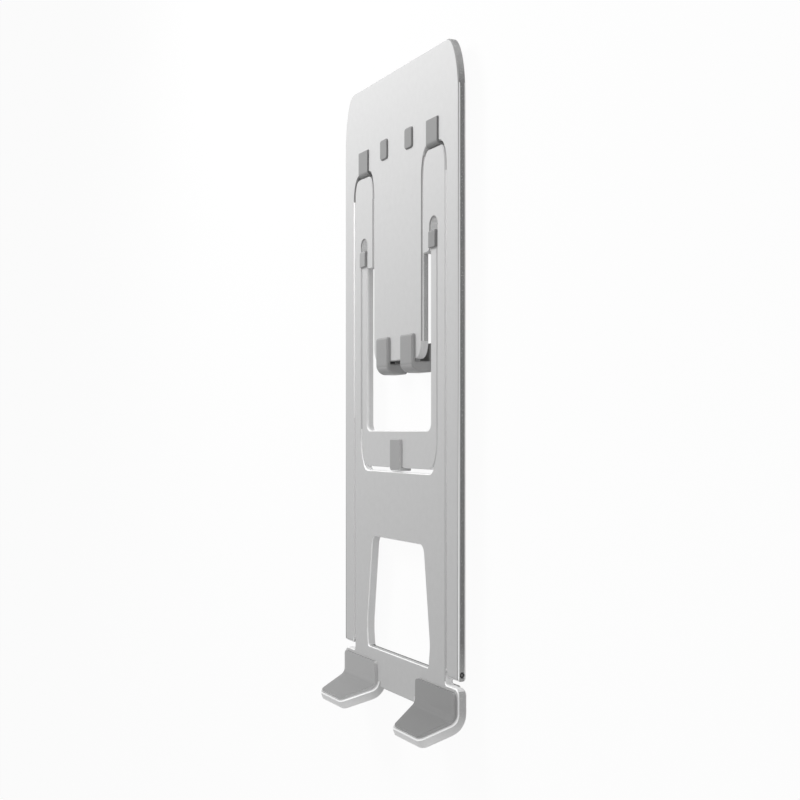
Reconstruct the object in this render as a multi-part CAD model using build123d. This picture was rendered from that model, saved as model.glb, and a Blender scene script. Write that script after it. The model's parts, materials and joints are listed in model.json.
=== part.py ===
from build123d import *
from math import atan2, cos, degrees, radians, sin
import os

# Folding laptop stand, in millimetres, modelled folded flat.
# Three plates lie one inside the other. The laptop plate turns on the base at the front hinge.
# The prop frame turns in two slots of the base, and swings up to carry the laptop plate's tongue.
# While it is built, X runs across the stand, Y from the front hinge's axis to the top edge,
# and Z out of the front faces. The last step sets the stand down as it comes to rest, on its back.

# Laptop plate
plate_width = 138.0
plate_top = 297.0
plate_thick = 4.0
plate_corner = (12.0, 28.0)
plate_rail = 12.5
rail_end = 3.2
rail_end_round = 1.9
rail_inner_corner = 4.0
rail_outer_corner = 1.5
tongue_half = 29.2
tongue_end = 148.6
tongue_corner = (6.0, 8.3)
notch_top = 251.2
edge_chamfer = 0.5

# Base frame
base_thick = 4.4
base_gap = 1.5
base_tongue_gap = 1.6
base_top_gap = 2.4
base_outer_shoulder = (5.0, 10.0)
base_inner_shoulder = (6.2, 12.0)
base_cutout_end = 92.1
ear_slot_top = 215.8
finger_end = 199.2
finger_inner_round = 1.0
finger_slot_round = (3.6, 2.2)
web_end = 21.3
web_relief = 1.5
web_round = 1.0
window_top = 57.3
window_bottom = -1.65
window_top_half = 31.2
window_wide_half = 38.4
window_wide_y = 9.5
window_bottom_half = 36.8
window_top_round = 5.0
window_side_round = 22.0
window_bottom_round = 1.6

# Front hooks, bent forward out of the base frame
hook_inner_x = 22.6
hook_shoulder = 6.6
hook_shoulder_round = 3.5
hook_neck_round = 2.0
hook_bend_y = 18.0
hook_bend_radius = 5.5
hook_bend_angle = 66.0
hook_lip = 16.0
hook_taper_start = 2.4
hook_outer_taper = 0.335
hook_inner_taper = 0.68
hook_taper_round = 8.0
hook_tip_round = 4.5

# Prop frame
prop_thick = 4.0
prop_rail_inner = 39.2
prop_rail_outer = 46.0
prop_side_gap = 0.7
prop_end_gap = 2.1
prop_corner = (8.0, 16.0)
prop_bar = 18.9
prop_window_round = 4.0
prop_hinge_y = 203.4
ear_reach = 4.6
ear_round = 0.8

# Pins and washers
pin_diameter = 2.4
pin_play = 0.05
pin_recess = 0.4
pin_seat_depth = 10.0
pin_finger_depth = 3.5
washer_diameter = 3.6
washer_play = 0.1
bore_countersink = 0.25

# Rubber pieces
pad_thick = 0.9
pad_round = 0.4
pad_margin = 0.3
cap_thick = 1.3
top_pad_inset = (5.4, 7.0)
top_pad_height = 11.8
top_pad_lip = 1.8
top_pad_round = 2.4
mid_pad_rise = 1.1
mid_pad_centre = 15.2
mid_pad_width = 8.6
mid_pad_height = 10.4
mid_pad_corner = 1.6
boot_x = (8.0, 22.0)
boot_front = 2.0
boot_rear = 5.8
boot_rear_wall = 1.5
boot_floor_gap = 1.1
boot_floor = 5.4
boot_front_height = 19.1
boot_rear_height = 14.4
boot_front_round = 5.2
boot_rear_round = 1.4
boot_front_top_round = 1.2
boot_rear_top_round = 0.7
boot_edge_bevel = 0.6
tab_width = 10.0
tab_cover = 2.2
hook_pad_thick = 1.4
hook_pad_rim = 1.1
hook_pad_side = 2.2
hook_pad_top = 8.4
hook_pad_corner = 2.0
ear_pad_wrap = 1.25
ear_pad_length = 8.3
ear_pad_round = 0.9
clip_half = 6.0
clip_front_height = 15.9
clip_wrap = 1.5
clip_rear = 1.0
clip_rear_height = 8.0
foot_clear = 0.5
foot_bevel = 0.6
front_foot_inset = (8.0, 16.0)
front_foot_y = (-16.4, -8.4)
rear_foot_size = 12.0
rear_foot_y = (222.0, 234.0)
foot_corner = 2.0

# Values worked out from the sizes above
half_width = plate_width / 2
front_z = plate_thick / 2
back_z = -plate_thick / 2
base_back_z = front_z - base_thick
base_mid_z = (front_z + base_back_z) / 2
prop_front_z = base_mid_z + prop_thick / 2
prop_back_z = base_mid_z - prop_thick / 2
rail_inner = half_width - plate_rail
base_half = rail_inner - base_gap
base_inner = tongue_half + base_tongue_gap
base_top = notch_top - base_top_gap
slot_inner = prop_rail_inner - prop_side_gap
slot_outer = prop_rail_outer + prop_side_gap
prop_end = base_cutout_end + prop_end_gap
ear_end = prop_hinge_y + ear_reach
top_pad_x = (base_inner + top_pad_inset[0], base_half - top_pad_inset[1])
top_pad_end = notch_top + top_pad_height
mid_pad_end = top_pad_end + mid_pad_rise
front_foot_x = (hook_inner_x + front_foot_inset[0], half_width - front_foot_inset[1])
rear_foot_x = ((base_inner + base_half - rear_foot_size) / 2, (base_inner + base_half + rear_foot_size) / 2)
boot_low = tongue_end - boot_floor_gap - boot_floor
boot_back_z = back_z - boot_rear
foot_low_z = boot_back_z - foot_clear
pin_radius = pin_diameter / 2
bore_radius = pin_radius + pin_play
bend_turn = radians(hook_bend_angle)


def soft_outline(corners):
    """Face inside a run of square corners, each (x, y, (x radius, y radius)), turned as ellipses."""
    edges = []
    turned = []
    for i, (x, y, (rx, ry)) in enumerate(corners):
        before = corners[i - 1]
        after = corners[(i + 1) % len(corners)]
        come = Vector(x - before[0], y - before[1]).normalized()
        leave = Vector(after[0] - x, after[1] - y).normalized()
        start = Vector(x, y) - Vector(come.X * rx, come.Y * ry)
        end = Vector(x, y) + Vector(leave.X * rx, leave.Y * ry)
        turned.append((start, end))
        if rx > 0:
            centre = start + Vector(leave.X * rx, leave.Y * ry)
            quarter = 90 if come.cross(leave).Z > 0 else -90
            begin = degrees(atan2(-leave.Y, -leave.X))
            edges.append(EllipticalCenterArc(centre, rx, ry, start_angle=begin, arc_size=quarter))
    for i, (start, end) in enumerate(turned):
        last_end = turned[i - 1][1]
        if (start - last_end).length > 1e-6:
            edges.append(Line(last_end, start))
    return make_face(edges)


def mirrored_corners(corners):
    return [(-x, y, radii) for x, y, radii in reversed(corners)]


def lies_flat(edge):
    return edge.bounding_box().size.Z < 1e-4


def plate(face, low, high, bevelled=lies_flat):
    """Flat plate between two heights, with its upper and lower edges chamfered."""
    solid = extrude(Pos(0, 0, low) * face, high - low)
    return chamfer(solid.edges().filter_by(bevelled), edge_chamfer)


def block(x, y, z):
    """Box between two values on each axis."""
    middle = Pos(sum(x) / 2, sum(y) / 2, sum(z) / 2)
    return middle * Box(x[1] - x[0], y[1] - y[0], z[1] - z[0])


def rod(radius, x, y, z):
    """Cylinder along X between two values of x."""
    return Pos(sum(x) / 2, y, z) * Cylinder(radius, x[1] - x[0], rotation=(0, 90, 0))


def side_profile(x, corners):
    """Prism along X of a closed outline of (y, z, radius) corners."""
    face = make_face(Polyline(*[(y, z) for y, z, radius in corners], close=True))
    for y, z, radius in corners:
        if radius > 0:
            corner = face.vertices().sort_by_distance(Vector(y, z))[0]
            face = fillet(corner, radius)
    return extrude(Plane.YZ.offset(x[0]) * face, x[1] - x[0])


def mirrored(solid):
    return mirror(solid, about=Plane.YZ)


def with_mirror(solid):
    return solid + mirrored(solid)


# Laptop plate: a top panel, a long rail down each side and a broad tongue with two tabs
def build_laptop_plate():
    square = (0, 0)
    notch_outer = (rail_inner - top_pad_x[1] - pad_margin, base_outer_shoulder[1] + base_top_gap)
    notch_inner = (top_pad_x[0] - tongue_half - pad_margin, base_inner_shoulder[1] + base_top_gap)
    tab_left = (sum(boot_x) - tab_width) / 2
    tab_right = (sum(boot_x) + tab_width) / 2
    tab_low = boot_low + tab_cover
    right = [
        (half_width, plate_top, plate_corner),
        (half_width, -rail_end, (rail_outer_corner, rail_outer_corner)),
        (rail_inner, -rail_end, (rail_inner_corner, rail_inner_corner)),
        (rail_inner, notch_top, notch_outer),
        (tongue_half, notch_top, notch_inner),
        (tongue_half, tongue_end, tongue_corner),
        (tab_right, tongue_end, square),
        (tab_right, tab_low, square),
        (tab_left, tab_low, square),
        (tab_left, tongue_end, square),
    ]
    solid = plate(soft_outline(right + mirrored_corners(right)), back_z, front_z)
    across = (-half_width, half_width)
    shaved = block(across, (-rail_end, -rail_end + rail_end_round), (back_z, front_z))
    shaved -= block(across, (-rail_end, 0), (back_z + rail_end_round, front_z - rail_end_round))
    for z in (back_z + rail_end_round, front_z - rail_end_round):
        shaved -= rod(rail_end_round, across, -rail_end + rail_end_round, z)
    solid -= shaved
    solid -= with_mirror(rod(bore_radius, (rail_inner, half_width), 0, 0))
    sink = Cone(bore_radius, bore_radius + bore_countersink, bore_countersink, rotation=(0, 90, 0))
    return solid - with_mirror(Pos(half_width - bore_countersink / 2, 0, 0) * sink)


# Hooks: a sheet bent forward, tapering towards a rounded tip
def bend_point(height, share):
    """Point (y, z) in the bend, at a height over the sheet's front face and a share of the turn."""
    radius = hook_bend_radius - height
    turn = bend_turn * share
    centre = Vector(-hook_bend_y, front_z + hook_bend_radius)
    return centre - Vector(sin(turn), cos(turn)) * radius


def hook_sheet(x, low, high, y_top, lip):
    """Bent sheet between two heights over the base's front face."""
    ahead = Vector(-cos(bend_turn), sin(bend_turn)) * lip
    sides = []
    for height in (low, high):
        sides.append((Vector(y_top, front_z + height), bend_point(height, 0),
                      bend_point(height, 0.5), bend_point(height, 1),
                      bend_point(height, 1) + ahead))
    (a0, a1, a2, a3, a4), (b0, b1, b2, b3, b4) = sides
    edges = [ThreePointArc(a1, a2, a3), Line(a3, a4), Line(a4, b4), Line(b4, b3),
             ThreePointArc(b3, b2, b1), Line(b0, a0)]
    if (a0 - a1).length > 1e-6:
        edges += [Line(a0, a1), Line(b1, b0)]
    return extrude(Plane.YZ.offset(x[0]) * make_face(edges), x[1] - x[0])


def hook_taper(inset):
    """Prism along Y that holds a hook's width, narrowing from the bend towards the tip."""
    start = front_z + hook_taper_start
    run = hook_bend_radius + hook_lip
    inner = hook_inner_x + inset
    outer = half_width - inset
    points = [(inner, base_back_z), (outer, base_back_z), (outer, start),
              (outer - hook_outer_taper * run, start + run),
              (inner + hook_inner_taper * run, start + run), (inner, start)]
    face = make_face(Polyline(*points, close=True))
    for point in (points[2], points[5]):
        corner = face.vertices().sort_by_distance(Vector(*point))[0]
        face = fillet(corner, hook_taper_round)
    length = hook_bend_y + hook_bend_radius + hook_lip
    return extrude(Plane.XZ * face, length + base_thick)


def round_tip(sheet, radius):
    """Fillet the two edges across the sheet's thickness at its tip."""
    tip = sheet.faces().sort_by(lambda f: f.center().Z)[-1]
    ends = sorted(tip.edges(), key=lambda e: abs(e.tangent_at(0.5).X))[:2]
    return fillet(ends, radius)


def sheet_height(point):
    """Height of a point over the front face of the bent sheet."""
    away = Vector(point.Y + hook_bend_y, point.Z - front_z - hook_bend_radius)
    if away.X >= 0:
        return point.Z - front_z
    if atan2(-away.X, -away.Y) <= bend_turn:
        return hook_bend_radius - away.length
    return hook_bend_radius + away.X * sin(bend_turn) + away.Y * cos(bend_turn)


def is_hook_rim(edge):
    """True on the edges round the front and back faces of a hook, apart from its root."""
    points = [edge.position_at(share) for share in (0.1, 0.5, 0.9)]
    heights = [sheet_height(point) for point in points]
    if max(heights) - min(heights) > 1e-3:
        return False
    if abs(heights[0]) > 1e-3 and abs(heights[0] + base_thick) > 1e-3:
        return False
    across = abs(edge.tangent_at(0.5).X) > 0.99
    past_bend = Vector(points[1].Y, points[1].Z) - bend_point(heights[0], 1)
    return not across or past_bend.length > hook_lip / 2


def build_hook():
    sheet = hook_sheet((hook_inner_x, half_width), -base_thick, 0, -hook_bend_y, hook_lip)
    sheet = round_tip(sheet & hook_taper(0), hook_tip_round)
    return chamfer(sheet.edges().filter_by(is_hook_rim), edge_chamfer)


# Base frame: a panel with a window, a rail up each side that the prop's slot splits, and the hooks
def window_outline():
    right = [(window_top_half, window_top, window_top_round),
             (window_wide_half, window_wide_y, window_side_round),
             (window_bottom_half, window_bottom, window_bottom_round)]
    corners = right + [(-x, y, radius) for x, y, radius in reversed(right)]
    face = make_face(Polyline(*[(x, y) for x, y, radius in corners], close=True))
    for x, y, radius in corners:
        corner = face.vertices().sort_by_distance(Vector(x, y))[0]
        face = fillet(corner, radius)
    return face


def is_plate_rim(edge):
    """True on the flat edges of the base, apart from the roots of the hooks."""
    middle = edge.center()
    at_root = abs(middle.Y + hook_bend_y) < 1e-3 and abs(middle.X) > hook_inner_x
    return lies_flat(edge) and not at_root


def build_base_frame():
    slot_round = (slot_outer - slot_inner) / 2
    web_half = hook_inner_x - web_relief
    outside = [
        (base_half, base_top, base_outer_shoulder),
        (base_half, -hook_shoulder, (hook_neck_round, hook_neck_round)),
        (half_width, -hook_shoulder, (hook_shoulder_round, hook_shoulder_round)),
        (half_width, -hook_bend_y, (0, 0)),
        (web_half, -hook_bend_y, (0, 0)),
        (web_half, -web_end, (web_round, web_round)),
    ]
    inside = [
        (base_inner, base_top, base_inner_shoulder),
        (base_inner, finger_end, (finger_inner_round, finger_inner_round)),
        (slot_inner, finger_end, finger_slot_round),
        (slot_inner, ear_slot_top, (slot_round, slot_round)),
        (slot_outer, ear_slot_top, (slot_round, slot_round)),
        (slot_outer, base_cutout_end, (prop_corner[0] + prop_side_gap, prop_corner[1] + prop_end_gap)),
    ]
    left_inside = [(-x, y, radii) for x, y, radii in inside]
    corners = outside + mirrored_corners(outside) + left_inside + list(reversed(inside))
    face = soft_outline(corners) - window_outline()
    solid = plate(face, base_back_z, front_z, is_plate_rim)
    solid += with_mirror(build_hook())
    front_seat = rod(pin_radius, (base_half - pin_seat_depth, base_half), 0, 0)
    strip_seat = rod(pin_radius, (slot_outer, base_half), prop_hinge_y, base_mid_z)
    finger_seat = rod(pin_radius, (slot_inner - pin_finger_depth, slot_inner), prop_hinge_y, base_mid_z)
    return solid - with_mirror(front_seat) - with_mirror(strip_seat) - with_mirror(finger_seat)


# Prop frame: a fork whose two ears turn in the base's slots
def build_prop_frame():
    outside = [(prop_rail_outer, ear_end, (ear_round, ear_round)),
               (prop_rail_outer, prop_end, prop_corner)]
    inside = [(prop_rail_inner, ear_end, (ear_round, ear_round)),
              (prop_rail_inner, prop_end + prop_bar, (prop_window_round, prop_window_round))]
    left_inside = [(-x, y, radii) for x, y, radii in inside]
    corners = outside + mirrored_corners(outside) + left_inside + list(reversed(inside))
    solid = plate(soft_outline(corners), prop_back_z, prop_front_z)
    bore = rod(bore_radius, (prop_rail_inner, prop_rail_outer), prop_hinge_y, base_mid_z)
    return solid - with_mirror(bore)


# Pins and washers, on the right-hand side
def build_front_pin():
    return rod(pin_radius, (base_half - pin_seat_depth, half_width - pin_recess), 0, 0)


def build_prop_pin():
    x = (slot_inner - pin_finger_depth, base_half - pin_recess)
    return rod(pin_radius, x, prop_hinge_y, base_mid_z)


def build_washer(x, y, z):
    ring = rod(washer_diameter / 2, x, y, z)
    return ring - rod(bore_radius, x, y, z)


# Rubber pads glued on the plates, on the right-hand side
def build_top_pad():
    """Pad that bends over the notch's edge and covers the notch's end."""
    low = notch_top - top_pad_lip
    return side_profile(top_pad_x, [
        (top_pad_end, front_z, 0),
        (top_pad_end, front_z + pad_thick, pad_round),
        (low, front_z + pad_thick, top_pad_round),
        (low, back_z, 0),
        (notch_top, back_z, 0),
        (notch_top, front_z, 0),
    ])


def build_mid_pad():
    x = (mid_pad_centre - mid_pad_width / 2, mid_pad_centre + mid_pad_width / 2)
    solid = block(x, (mid_pad_end - mid_pad_height, mid_pad_end), (front_z, front_z + pad_thick))
    solid = fillet(solid.edges().filter_by(Axis.Z), mid_pad_corner)
    return chamfer(solid.faces().sort_by(Axis.Z)[-1].edges(), pad_round)


def on_plate(edge):
    """True on a boot's edges that lie on the tongue's front face or its end."""
    middle = edge.center()
    on_face = abs(middle.Z - front_z) < 1e-3
    on_end = abs(middle.Y - boot_low - boot_floor) < 1e-3 and middle.Z > back_z
    return on_face or on_end


def build_boot():
    """Rubber hook on a tab of the tongue, which holds the prop's crossbar from behind."""
    front = front_z + boot_front
    floor_top = boot_low + boot_floor
    solid = side_profile(boot_x, [
        (boot_low + boot_front_height, front_z, 0),
        (boot_low + boot_front_height, front, boot_front_top_round),
        (boot_low, front, boot_front_round),
        (boot_low, boot_back_z, boot_rear_round),
        (boot_low + boot_rear_height, boot_back_z, boot_rear_top_round),
        (boot_low + boot_rear_height, boot_back_z + boot_rear_wall, boot_rear_top_round),
        (floor_top, boot_back_z + boot_rear_wall, boot_rear_top_round),
        (floor_top, front_z, 0),
    ])
    sides = solid.faces().filter_by(Axis.X)
    rims = [edge for side in sides for edge in side.edges() if not on_plate(edge)]
    solid = chamfer(rims, boot_edge_bevel)
    tab_x = ((sum(boot_x) - tab_width) / 2, (sum(boot_x) + tab_width) / 2)
    return solid - block(tab_x, (boot_low + tab_cover, floor_top), (back_z, front_z))


def build_hook_pad():
    x = (hook_inner_x + hook_pad_side, half_width - hook_pad_side)
    sheet = hook_sheet(x, 0, hook_pad_thick, -hook_pad_top, hook_lip - hook_pad_rim)
    sheet = round_tip(sheet & hook_taper(hook_pad_side), hook_tip_round - hook_pad_rim)
    top = sheet.faces().sort_by(Axis.Y)[-1]
    corners = [edge for edge in top.edges() if abs(edge.tangent_at(0.5).X) < 0.5]
    return fillet(corners, hook_pad_corner)


def build_ear_pad():
    """Rubber cap over the end of a prop ear."""
    cap = ear_end + ear_pad_wrap
    low = cap - ear_pad_length
    return side_profile((prop_rail_inner, prop_rail_outer), [
        (low, prop_front_z, 0),
        (low, prop_front_z + cap_thick, pad_round),
        (cap, prop_front_z + cap_thick, ear_pad_round),
        (cap, prop_back_z - cap_thick, ear_pad_round),
        (low, prop_back_z - cap_thick, pad_round),
        (low, prop_back_z, 0),
        (ear_end, prop_back_z, 0),
        (ear_end, prop_front_z, 0),
    ])


def build_prop_clip():
    """Rubber clip round the lower edge of the prop's crossbar."""
    low = prop_end - clip_wrap
    return side_profile((-clip_half, clip_half), [
        (low + clip_front_height, prop_front_z, 0),
        (low + clip_front_height, prop_front_z + cap_thick, pad_round),
        (low, prop_front_z + cap_thick, cap_thick),
        (low, prop_back_z - clip_rear, pad_round),
        (low + clip_rear_height, prop_back_z - clip_rear, pad_round),
        (low + clip_rear_height, prop_back_z, 0),
        (prop_end, prop_back_z, 0),
        (prop_end, prop_front_z, 0),
    ])


def build_foot(x, y):
    """Foot under the base, tall enough to keep the boots and the swinging ears off the desk."""
    solid = block(x, y, (foot_low_z, base_back_z))
    solid = chamfer(solid.edges().filter_by(Axis.Z), foot_corner)
    return chamfer(solid.faces().sort_by(Axis.Z)[0].edges(), foot_bevel)


def build_nodes():
    """Every piece by name, in the frame of the folded plates."""
    nodes = {
        "laptop_plate": build_laptop_plate(),
        "base_frame": build_base_frame(),
        "prop_frame": build_prop_frame(),
        "prop_clip": build_prop_clip(),
    }
    half_play = washer_play / 2
    outer_gap = (prop_rail_outer + half_play, slot_outer - half_play)
    inner_gap = (slot_inner + half_play, prop_rail_inner - half_play)
    pairs = {
        "front_hinge_pin": build_front_pin(),
        "front_hinge_washer": build_washer((base_half, rail_inner - washer_play), 0, 0),
        "prop_hinge_pin": build_prop_pin(),
        "prop_outer_washer": build_washer(outer_gap, prop_hinge_y, base_mid_z),
        "prop_inner_washer": build_washer(inner_gap, prop_hinge_y, base_mid_z),
        "top_pad": build_top_pad(),
        "mid_pad": build_mid_pad(),
        "tongue_boot": build_boot(),
        "hook_pad": build_hook_pad(),
        "ear_pad": build_ear_pad(),
        "front_foot": build_foot(front_foot_x, front_foot_y),
        "rear_foot": build_foot(rear_foot_x, rear_foot_y),
    }
    for name, solid in pairs.items():
        nodes[name + "_right"] = solid
        nodes[name + "_left"] = mirrored(solid)
    return nodes


# Folded and laid down, the stand rests on its four feet
def lay_down(nodes):
    """Set the stand on the ground, with the middle of its underside at the origin."""
    boxes = [solid.bounding_box() for solid in nodes.values()]
    low_y = min(box.min.Y for box in boxes)
    high_y = max(box.max.Y for box in boxes)
    shift = Pos(0, -(low_y + high_y) / 2, -min(box.min.Z for box in boxes))
    return {name: shift * solid for name, solid in nodes.items()}


if __name__ == "__main__":
    os.makedirs("parts", exist_ok=True)
    for name, solid in lay_down(build_nodes()).items():
        solid.label = name
        export_step(solid, "parts/" + name + ".step")
        print(name, "volume", round(solid.volume, 1))
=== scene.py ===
import json
import math

import bmesh
import bpy
from mathutils import Matrix, Vector

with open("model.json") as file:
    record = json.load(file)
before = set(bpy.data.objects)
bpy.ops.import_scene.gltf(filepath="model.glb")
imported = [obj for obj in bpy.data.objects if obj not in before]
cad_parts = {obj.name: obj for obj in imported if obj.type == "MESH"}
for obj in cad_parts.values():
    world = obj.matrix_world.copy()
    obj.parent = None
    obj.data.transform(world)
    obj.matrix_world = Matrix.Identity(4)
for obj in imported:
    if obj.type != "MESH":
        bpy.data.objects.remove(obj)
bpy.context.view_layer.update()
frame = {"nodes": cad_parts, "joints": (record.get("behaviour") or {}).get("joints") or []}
scene = bpy.context.scene
scene.view_settings.view_transform = "Standard"

frontHinge = Vector(frame["joints"][0]["pos_m"])  # on the front hinge's axis, halfway across the stand
print("frame loaded:", len(frame["nodes"]), "nodes")


# camera: over the right-hand edge, rolled so that the top edge of the stand points up in the picture
view = {
    "fromHinge": Vector((0.61409, 0.1134, 0.28001)),
    "lookDown": 24.5,  # degrees
    "lens": 59.63,
    "sensor": 36.0,
    "shiftUp": 0.0375,
    "clip": (0.01, 50.0),
}


def makeCamera():
    data = bpy.data.cameras.new("photoCamera")
    data.lens = view["lens"]
    data.sensor_width = view["sensor"]
    data.shift_y = view["shiftUp"]
    data.clip_start, data.clip_end = view["clip"]
    camera = bpy.data.objects.new("photoCamera", data)
    scene.collection.objects.link(camera)
    tip = math.radians(view["lookDown"])
    right = Vector((math.sin(tip), 0, -math.cos(tip)))
    up = Vector((0, 1, 0))
    back = Vector((math.cos(tip), 0, math.sin(tip)))
    turn = Matrix((right, up, back)).transposed().to_4x4()
    camera.matrix_world = Matrix.Translation(frontHinge + view["fromHinge"]) @ turn
    scene.camera = camera


makeCamera()
print("camera placed")


# node helpers: every material below is built from these
def newMaterial(name):
    material = bpy.data.materials.new(name)
    material.use_nodes = True
    material.node_tree.nodes.clear()
    return material


def addNode(tree, kind, settings=None, **inputs):
    # an input goes by its name, or by its number as i0, i1 and so on
    node = tree.nodes.new(kind)
    for key, value in (settings or {}).items():
        setattr(node, key, value)
    for key, value in inputs.items():
        isNumber = key[0] == "i" and key[1:].isdigit()
        socket = node.inputs[int(key[1:]) if isNumber else key]
        if isinstance(value, bpy.types.NodeSocket):
            tree.links.new(value, socket)
        else:
            socket.default_value = value
    return node


def math2(tree, operation, first, second):
    return addNode(tree, "ShaderNodeMath", {"operation": operation}, i0=first, i1=second).outputs[0]


def unsigned(tree, value):
    return math2(tree, "ABSOLUTE", value, 0.0)


def mixTone(tree, share, low, high):
    return addNode(tree, "ShaderNodeMix", {"data_type": "FLOAT"}, i0=share, i2=low, i3=high).outputs[0]


def addNoise(tree, place, size, detail, **inputs):
    return addNode(tree, "ShaderNodeTexNoise", Vector=place.outputs["Object"], Scale=size,
                   Detail=detail, **inputs).outputs[0]


def addBump(tree, bump, pattern):
    strength, depth = bump
    return addNode(tree, "ShaderNodeBump", Strength=strength, Distance=depth, Height=pattern).outputs[0]


def grey(level):
    return (level, level, level, 1)


def addShader(tree, tone, **inputs):
    # a tone that is the same all over is set on the shader itself
    if isinstance(tone, bpy.types.NodeSocket):
        colour = addNode(tree, "ShaderNodeCombineColor", i0=tone, i1=tone, i2=tone).outputs[0]
    else:
        colour = grey(tone)
    inputs["Base Color"] = colour
    shader = addNode(tree, "ShaderNodeBsdfPrincipled", **inputs)
    addNode(tree, "ShaderNodeOutputMaterial", Surface=shader.outputs[0])


# light: a white room, a lamp over the top end and a broad, weaker one on the camera's side
studio = {
    "roomLight": 0.28,
    "floorSize": 12.0,
    "floorColour": 0.95,
    "shadowShare": 0.05,  # how much of its own shade the floor shows to the camera
    "lamps": (
        # name, place, aim, (width, height), power
        ("topLamp", (-0.25, 0.42, 0.42), (0, 0.1, 0), (0.35, 0.3), 2.95),
        ("cameraLamp", (0.9, 0.2, 0.7), (0, 0, 0), (0.5, 0.8), 1.5),
    ),
}


def seenWhite(tree):
    # share of rays that look at the room: from the camera, off metal and through glass
    rays = addNode(tree, "ShaderNodeLightPath")
    direct = math2(tree, "MAXIMUM", rays.outputs["Is Camera Ray"], rays.outputs["Is Transmission Ray"])
    return math2(tree, "MAXIMUM", direct, rays.outputs["Is Glossy Ray"])


def makeRoom():
    world = bpy.data.worlds.new("whiteRoom")
    world.use_nodes = True
    tree = world.node_tree
    tree.nodes.clear()
    strength = mixTone(tree, seenWhite(tree), studio["roomLight"], 1.0)
    back = addNode(tree, "ShaderNodeBackground", Color=grey(1), Strength=strength)
    addNode(tree, "ShaderNodeOutputWorld", Surface=back.outputs[0])
    scene.world = world


def makeFloor():
    mesh = bpy.data.meshes.new("floor")
    bm = bmesh.new()
    bmesh.ops.create_grid(bm, x_segments=1, y_segments=1, size=studio["floorSize"] / 2)
    bm.to_mesh(mesh)
    bm.free()
    floor = bpy.data.objects.new("floor", mesh)
    scene.collection.objects.link(floor)
    paint = newMaterial("whiteFloor")
    tree = paint.node_tree
    share = math2(tree, "MULTIPLY", seenWhite(tree), 1 - studio["shadowShare"])
    matt = addNode(tree, "ShaderNodeBsdfDiffuse", Color=grey(studio["floorColour"]))
    white = addNode(tree, "ShaderNodeEmission", Color=grey(1), Strength=1.0)
    both = addNode(tree, "ShaderNodeMixShader", i0=share, i1=matt.outputs[0], i2=white.outputs[0])
    addNode(tree, "ShaderNodeOutputMaterial", Surface=both.outputs[0])
    mesh.materials.append(paint)


def makeLamps():
    for name, place, aim, size, power in studio["lamps"]:
        data = bpy.data.lights.new(name, "AREA")
        data.shape = "RECTANGLE"
        data.size, data.size_y = size
        data.energy = power
        lamp = bpy.data.objects.new(name, data)
        scene.collection.objects.link(lamp)
        lamp.location = place
        lamp.rotation_euler = (Vector(aim) - Vector(place)).to_track_quat("-Z", "Y").to_euler()


makeRoom()
makeFloor()
makeLamps()
print("room, floor and lamps ready")


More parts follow.
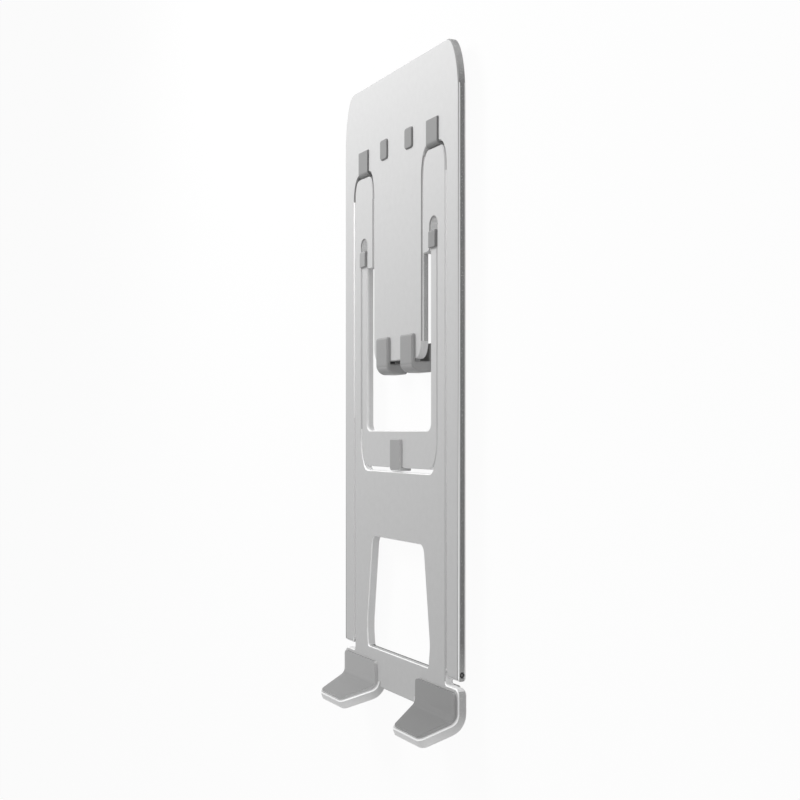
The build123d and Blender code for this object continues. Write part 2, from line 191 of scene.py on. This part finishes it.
# plates: blasted and anodised faces with cut bevels; places are in mm from the front hinge
plates = {
    "metallic": 0.2,
    "roughness": 0.62,
    "grain": (2600.0, 2.0),  # size, detail
    "grainRoughness": 0.6,
    "clouds": (300.0, 2.0),
    "mottle": 0.04,  # how much the grain and the clouds each change a face
    "specks": (1900.0, 1.0),
    "paintedGlints": (0.65, 0.4, 0.9),  # painted glints on the walls: level above which a speck is painted bright, strength, tone
    "bump": (0.3, 0.00004),  # strength, depth
    # how a face, a bevel and a wall are told apart, from 0 to 1
    "faceFacesUp": 0.85,  # how far a face looks up or down at least
    "wallFacesUp": 0.4,  # and a wall at most
    "bendFaceAside": 0.4,  # in a hook's bend, how far a face looks sideways at most
    "bendWallAside": 0.87,  # and a wall at least
    "hookStart": -18.3,  # place along at which the hooks bend
    "lipStart": Vector((0, -25.0, 4.4)),  # where the hook's sheet is straight again
    "lipTurn": 66.0,  # degrees
    # each zone: kind, distance off the middle (less than 0: on the left only), place along, height,
    # tone (or its tones at both ends along)
    "laptop_plate": {
        "face": 0.6,
        "bevel": 0.6,
        "wall": 0.55,
        "zones": (
            # inner sides of the rails: painted light on the walls down in the gaps, and a painted
            # highlight on the bevels that grows up the stand
            ("bevel", (50, 57), (-4, 120), None, 0.75),
            ("bevel", (50, 57), (120, 238), None, (0.85, 1.4)),
            ("wall", (50, 57), (-4, 238), None, 1.0),
            # outer corners of the notches: painted light on the right, painted shade on the left
            ("bevel", (44, 57), (238, 256), None, 0.75),
            ("wall", (44, 57), (238, 256), None, 1.0),
            ("bevel", (-57, -44), (238, 256), None, 0.3),
            ("wall", (-57, -44), (238, 256), None, 0.25),
            # sides of the tongue: painted shade on the bevel and the wall's back part, a painted
            # highlight line along the wall's front part, and painted light on its rounded lower corners
            ("bevel", (0, 31), (150, 250), None, 0.36),
            ("wall", (0, 31), (150, 250), (-2, 0.5), 0.5),
            ("wall", (0, 31), (150, 250), (0.5, 1.4), 0.95),
            ("bevel", (22, 31), (148, 157), None, 0.7),
            ("wall", (22, 31), (148, 157), None, 0.8),
            # its lower edge between the boots, in near-black painted shade
            ("wall", (0, 12), (140, 157), None, 0.05),
            # outer edges: dark walls between painted highlights along the front bevel and the wall's
            # front, a painted reflection of the floor along the wall's back, and a darker line on the
            # face beside the bevel
            ("face", (67.7, 68.5), (-4, 150), None, (0.25, 0.6)),
            ("bevel", (57, 70), (-4, 130), (1.4, 2.1), (1.4, 0.65)),
            ("bevel", (57, 70), (130, 298), (1.4, 2.1), (0.65, 0.4)),
            ("wall", (57, 70), (-4, 180), (1.1, 1.6), (0.45, 1.45)),
            ("wall", (57, 70), (180, 298), (1.1, 1.6), 1.4),
            ("wall", (57, 70), (14, 298), (-1.7, 1.1), 0.24),
            ("wall", (57, 70), (-4, 14), (-1.7, 1.1), (0.5, 0.26)),
            ("wall", (57, 70), (-4, 180), (-1.7, -1.25), (1.5, 0.75)),
            ("wall", (57, 70), (180, 298), (-1.7, -1.25), (0.75, 1.2)),
            # paler round the top corners
            ("wall", (50, 70), (274, 283), None, (0.24, 0.42)),
            ("wall", (50, 70), (283, 292), None, (0.42, 0.5)),
            ("wall", (50, 70), (292, 300), None, (0.5, 0.25)),
            # lower bevel of the outer edges, with a painted reflection of the floor
            ("bevel", (57, 70), (-4, 298), (-2.1, -1.5), 0.9),
        ),
        "bore": (1.5, 60.0, 0.1),  # radius of the painted shade round the bore, distance off the middle it starts at, tone
    },
    "base_frame": {
        "face": 0.6,
        "bevel": 0.6,
        "wall": 0.6,
        "zones": (
            # window: painted light on its bevel and walls, and painted shade on its lower side, darkest
            # at the back
            ("bevel", (0, 38.5), (-2, 58), None, 1.0),
            ("wall", (0, 38.5), (-2, 58), None, 0.8),
            ("wall", (0, 37), (-2.2, -1.2), (-0.8, 1.6), 0.5),
            ("wall", (0, 37), (-2.2, -1.2), (-2.5, -0.8), 0.1),
            # outer sides: painted light, brighter up the stand
            ("bevel", (53, 56), (-4, 236), None, (0.6, 0.75)),
            ("wall", (53, 56), (-4, 236), None, (0.7, 0.95)),
            # top ends
            ("bevel", (0, 56), (236, 256), None, 0.62),
            # inner sides of the strips: painted light on the walls in the gaps, painted shade on the
            # bevels
            ("bevel", (28, 38), (200, 236), None, 0.45),
            ("wall", (28, 38), (200, 236), None, 1.0),
            # slots for the ears: painted light on the walls, painted shade on the bevels
            ("bevel", (38, 47), (199, 217), None, 0.35),
            ("wall", (38, 47), (199, 217), None, 1.0),
            # lower end of the cut-out, in painted light
            ("bevel", (0, 47), (91, 114), None, 0.95),
            ("wall", (0, 47), (91, 114), None, 1.0),
            # sides of the hooks, then their necks, then the bevels of both: painted light fading along
            # the sides, painted light on the necks, painted highlights on the bevels
            ("wall", (20, 70), (-17, -6), None, 0.55),
            ("wall", (20, 70), (-33, -17), None, (1.0, 0.55)),
            ("wall", (40, 68), (-11, -1), None, 1.0),
            ("bevel", (54, 70), (-18.3, -5), None, 1.0),
            ("bevel", (20, 70), (-50, -18.3), None, 1.0),
        ),
    },
    "prop_frame": {
        "face": 0.6,
        "bevel": 0.62,
        "wall": 0.78,
        "zones": (
            # inner sides: painted light on the bevels and the walls
            ("bevel", (0, 41), None, None, 0.85),
            ("wall", (0, 41), None, (0.4, 2), 1.0),
        ),
    },
}


def dot(tree, first, second):
    node = addNode(tree, "ShaderNodeVectorMath", {"operation": "DOT_PRODUCT"}, i0=first, i1=second)
    return node.outputs["Value"]


def inRange(tree, value, limits):
    low, high = limits
    return addNode(tree, "ShaderNodeMath", {"operation": "COMPARE"}, i0=value, i1=(low + high) / 2,
                   i2=(high - low) / 2).outputs[0]


def makePlateMetal(name):
    plate = plates[name]
    material = newMaterial(name + "Metal")
    tree = material.node_tree
    place = addNode(tree, "ShaderNodeTexCoord")
    fromHinge = addNode(tree, "ShaderNodeVectorMath", {"operation": "SUBTRACT"},
                        i0=place.outputs["Object"], i1=tuple(frontHinge)).outputs[0]
    spot = addNode(tree, "ShaderNodeVectorMath", {"operation": "SCALE"}, i0=fromHinge,
                   Scale=1000.0).outputs[0]  # m to mm
    across, along, height = addNode(tree, "ShaderNodeSeparateXYZ", i0=spot).outputs
    outwards = unsigned(tree, across)
    facing = addNode(tree, "ShaderNodeSeparateXYZ", i0=place.outputs["Normal"]).outputs
    sideways = unsigned(tree, facing[0])
    upwards = unsigned(tree, facing[2])
    isFace = math2(tree, "GREATER_THAN", upwards, plates["faceFacesUp"])
    isWall = math2(tree, "LESS_THAN", upwards, plates["wallFacesUp"])

    # a hook's sheet turns away from level: in its bend a wall is told by how far it looks sideways,
    # and in its straight lip by how little it looks the way that the lip's own front does
    lip = math.radians(plates["lipTurn"])
    inHook = math2(tree, "LESS_THAN", along, plates["hookStart"])
    fromLip = addNode(tree, "ShaderNodeVectorMath", {"operation": "SUBTRACT"}, i0=spot,
                      i1=tuple(plates["lipStart"])).outputs[0]
    inLip = math2(tree, "GREATER_THAN", dot(tree, fromLip, (0, -math.cos(lip), math.sin(lip))), 0.0)
    inLip = math2(tree, "MULTIPLY", inLip, inHook)
    lipwards = unsigned(tree, dot(tree, place.outputs["Normal"], (0, math.sin(lip), math.cos(lip))))
    bendFace = math2(tree, "LESS_THAN", sideways, plates["bendFaceAside"])
    bendWall = math2(tree, "GREATER_THAN", sideways, plates["bendWallAside"])
    lipFace = math2(tree, "GREATER_THAN", lipwards, plates["faceFacesUp"])
    lipWall = math2(tree, "LESS_THAN", lipwards, plates["wallFacesUp"])
    isFace = mixTone(tree, inLip, mixTone(tree, inHook, isFace, bendFace), lipFace)
    isWall = mixTone(tree, inLip, mixTone(tree, inHook, isWall, bendWall), lipWall)

    # the zones in their order, each over those before it; most of them paint light and shade onto
    # bevels and walls
    tones = {kind: plate[kind] for kind in ("face", "bevel", "wall")}
    for kind, outRange, alongRange, heightRange, tone in plate["zones"]:
        share = inRange(tree, across if outRange[0] < 0 else outwards, outRange)
        if alongRange:
            share = math2(tree, "MULTIPLY", share, inRange(tree, along, alongRange))
        if heightRange:
            share = math2(tree, "MULTIPLY", share, inRange(tree, height, heightRange))
        if isinstance(tone, tuple):
            tone = addNode(tree, "ShaderNodeMapRange", Value=along, i1=float(alongRange[0]),
                           i2=float(alongRange[1]), i3=tone[0], i4=tone[1]).outputs[0]
        tones[kind] = mixTone(tree, share, tones[kind], tone)
    # painted shade: a dark ring round the pins' bores in the walls
    if "bore" in plate:
        shadeRadius, shadeFrom, shadeTone = plate["bore"]
        flat = addNode(tree, "ShaderNodeCombineXYZ", i1=along, i2=height).outputs[0]
        away = addNode(tree, "ShaderNodeVectorMath", {"operation": "LENGTH"}, i0=flat).outputs["Value"]
        inBoreShade = math2(tree, "MULTIPLY", math2(tree, "LESS_THAN", away, shadeRadius),
                      math2(tree, "GREATER_THAN", outwards, shadeFrom))
        tones["wall"] = mixTone(tree, inBoreShade, tones["wall"], shadeTone)

    grain = addNoise(tree, place, *plates["grain"], Roughness=plates["grainRoughness"])
    clouds = addNoise(tree, place, *plates["clouds"])
    specks = addNoise(tree, place, *plates["specks"])
    # painted glints: bright specks painted on the walls
    glintFrom, glintStrength, glintTone = plates["paintedGlints"]
    glintShare = math2(tree, "MULTIPLY", math2(tree, "GREATER_THAN", specks, glintFrom), glintStrength)
    wall = mixTone(tree, glintShare, tones["wall"], glintTone)
    mottle = math2(tree, "ADD", math2(tree, "MULTIPLY", grain, plates["mottle"]),
                   math2(tree, "MULTIPLY", clouds, plates["mottle"]))
    face = math2(tree, "ADD", math2(tree, "SUBTRACT", mottle, plates["mottle"]), tones["face"])
    level = mixTone(tree, isWall, mixTone(tree, isFace, tones["bevel"], face), wall)
    polish = addNode(tree, "ShaderNodeMapRange", Value=level, i1=1.0, i2=2.0, i3=plates["metallic"],
                     i4=1.0).outputs[0]  # a tone above 1 marks a painted highlight, which is also made more metallic
    addShader(tree, math2(tree, "MINIMUM", level, 1.0), Metallic=polish,
              Roughness=plates["roughness"], Normal=addBump(tree, plates["bump"], grain))
    return material


# pins: painted shade as a dark rim round a painted highlight in the middle of their ends
pins = {
    # tones of the painted shade on the rim and the painted highlight in the middle
    "rim": 0.04,
    "middle": 0.14,
    "shank": 0.6,
    "highlightRadius": 0.0006,
    "endFrom": 0.066,  # distance off the middle of the stand from which it is an end
    "metallic": 0.9,
    "roughness": 0.35,
}


def makePinSteel(name, axis):
    material = newMaterial(name)
    tree = material.node_tree
    place = addNode(tree, "ShaderNodeTexCoord")
    across, along, height = addNode(tree, "ShaderNodeSeparateXYZ", i0=place.outputs["Object"]).outputs
    flat = addNode(tree, "ShaderNodeCombineXYZ", i1=along, i2=height).outputs[0]
    away = addNode(tree, "ShaderNodeVectorMath", {"operation": "DISTANCE"}, i0=flat,
                   i1=(0, axis.y, axis.z)).outputs["Value"]
    # painted highlight in the middle of each end, painted shade on the rim round it
    inHighlight = math2(tree, "LESS_THAN", away, pins["highlightRadius"])
    isEnd = math2(tree, "GREATER_THAN", unsigned(tree, across), pins["endFrom"])
    tone = mixTone(tree, isEnd, pins["shank"], mixTone(tree, inHighlight, pins["rim"], pins["middle"]))
    addShader(tree, tone, Metallic=pins["metallic"], Roughness=pins["roughness"])
    return material


# washers: pale plastic in the gaps beside both hinges' plates
washers = {
    "tone": 0.6,
    "roughness": 0.5,
}


def makeWasherPlastic():
    material = newMaterial("washerPlastic")
    addShader(material.node_tree, washers["tone"], Roughness=washers["roughness"])
    return material


# rubber: matt grey with a fine skin, its tones painted with light and shade
rubber = {
    # tones of what lies level, of what faces up the stand and of the sides: painted light and shade by
    # which way a face looks, with left pieces painted lighter than right ones
    "tones": {
        "top_pad": (0.28, 0.28, 0.26),
        "mid_pad": (0.28, 0.28, 0.25),
        "tongue_boot": (0.36, 0.36, 0.46),
        "hook_pad_right": (0.37, 0.26, 0.52),
        "hook_pad_left": (0.5, 0.33, 0.7),
        "ear_pad_right": (0.3, 0.3, 0.34),
        "ear_pad_left": (0.4, 0.4, 0.45),
        "prop_clip": (0.41, 0.41, 0.7),
        "front_foot": (0.8, 0.8, 0.8),
        "rear_foot": (0.8, 0.8, 0.8),
    },
    "fullLean": 0.6,  # how far it faces up the stand where its second tone is full
    "sideFrom": 0.25,  # how far a side faces sideways at least
    "frontBelow": 0.7,  # a front or lower side faces up and up the stand by less than this in all
    "roughness": 0.6,
    "grain": (1500.0, 2.0),  # size, detail
    "bump": (0.15, 0.00005),  # strength, depth
}


def makeRubber(piece):
    material = newMaterial(piece + "Rubber")
    tree = material.node_tree
    place = addNode(tree, "ShaderNodeTexCoord")
    across, along, height = addNode(tree, "ShaderNodeSeparateXYZ", i0=place.outputs["Normal"]).outputs
    # painted light and shade: the tone follows which way the face looks
    level, leanShade, side = rubber["tones"][piece]
    lean = addNode(tree, "ShaderNodeMapRange", Value=along, i1=0.0, i2=rubber["fullLean"]).outputs[0]
    isSide = math2(tree, "GREATER_THAN", unsigned(tree, across), rubber["sideFrom"])
    isFront = math2(tree, "LESS_THAN", math2(tree, "ADD", height, along), rubber["frontBelow"])
    isEdge = math2(tree, "MAXIMUM", isSide, isFront)
    grain = addNoise(tree, place, *rubber["grain"])
    addShader(tree, mixTone(tree, isEdge, mixTone(tree, lean, level, leanShade), side),
              Roughness=rubber["roughness"], Normal=addBump(tree, rubber["bump"], grain))
    return material


def dressNodes():
    frontAxis, propAxis = (Vector(joint["pos_m"]) for joint in frame["joints"])
    metal = {name: makePlateMetal(name) for name in ("laptop_plate", "base_frame", "prop_frame")}
    frontPin = makePinSteel("frontPinSteel", frontAxis)
    propPin = makePinSteel("propPinSteel", propAxis)
    plastic = makeWasherPlastic()
    soft = {piece: makeRubber(piece) for piece in rubber["tones"]}
    print("finishes ready:", ", ".join((*metal, "pins", "washers", *soft)))
    for name, node in frame["nodes"].items():
        if name in metal:
            finish = metal[name]
        elif "washer" in name:
            finish = plastic
        elif name.startswith("front_hinge"):
            finish = frontPin
        elif name.startswith("prop_hinge"):
            finish = propPin
        else:
            finish = next(coat for piece, coat in soft.items() if name.startswith(piece))
        node.data.materials.clear()
        node.data.materials.append(finish)


dressNodes()
print("nodes dressed")
